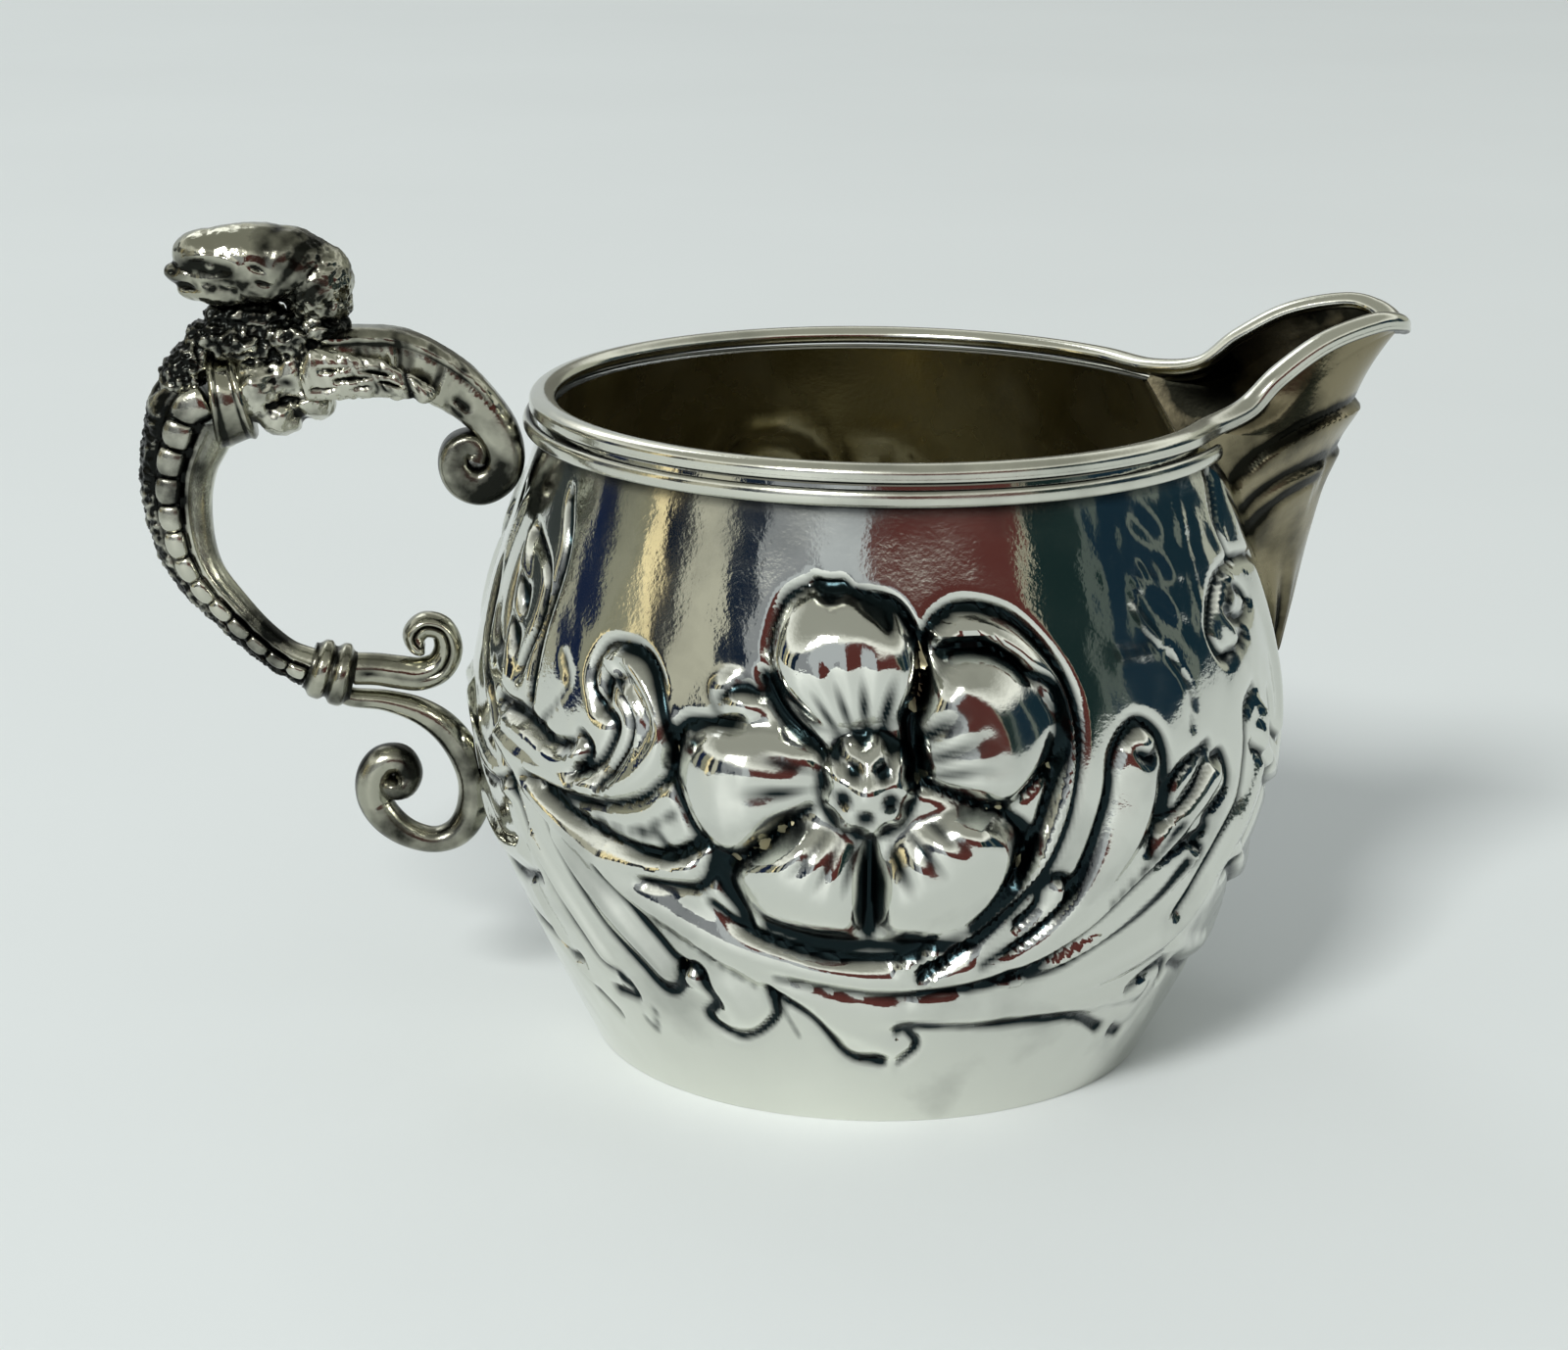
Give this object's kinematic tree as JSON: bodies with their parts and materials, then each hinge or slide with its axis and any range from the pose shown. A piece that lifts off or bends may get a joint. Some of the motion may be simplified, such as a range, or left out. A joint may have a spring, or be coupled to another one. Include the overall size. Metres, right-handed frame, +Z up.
{
  "type": "cream jug",
  "caption": "Small round-bellied silver cream jug with chased flowers and scrolls, a beaked spout, a wired rim and a cast scroll handle topped by a beast's head.",
  "frame": {"origin": "on the body's turning axis, in the resting plane under the base plate", "axes": "+Z up out of the mouth, +X towards the spout, -X towards the handle, +Y to the left of someone who looks along +X"},
  "size_m": [0.1155, 0.0748, 0.0765],
  "materials": {
    "chased_silver": "mirror polished, tarnish dark brown in the chased recesses and olive gilt inside",
    "plain_silver": "polished with fine wear",
    "spout_silver": "polished with brown tarnish in the flutes",
    "wire_silver": "bright polished wire",
    "cast_silver": "cast, chased and polished, dark in the recesses",
    "oxidised_silver": "cast and matted, oxidised dark with bright high spots"
  },
  "bodies": {
    "root": {"body_shell": "chased_silver", "base_plate": "plain_silver", "spout": "spout_silver", "lip_wire": "wire_silver", "rim_bead": "wire_silver", "handle_arm": "cast_silver", "handle_belt": "cast_silver", "handle_collar": "cast_silver", "handle_foot_scroll": "cast_silver", "handle_head": "cast_silver", "handle_tail": "oxidised_silver", "handle_thumb_scroll": "cast_silver", "handle_torso": "oxidised_silver", "handle_wing_far": "oxidised_silver", "handle_wing_near": "oxidised_silver"}
  },
  "joints": []
}
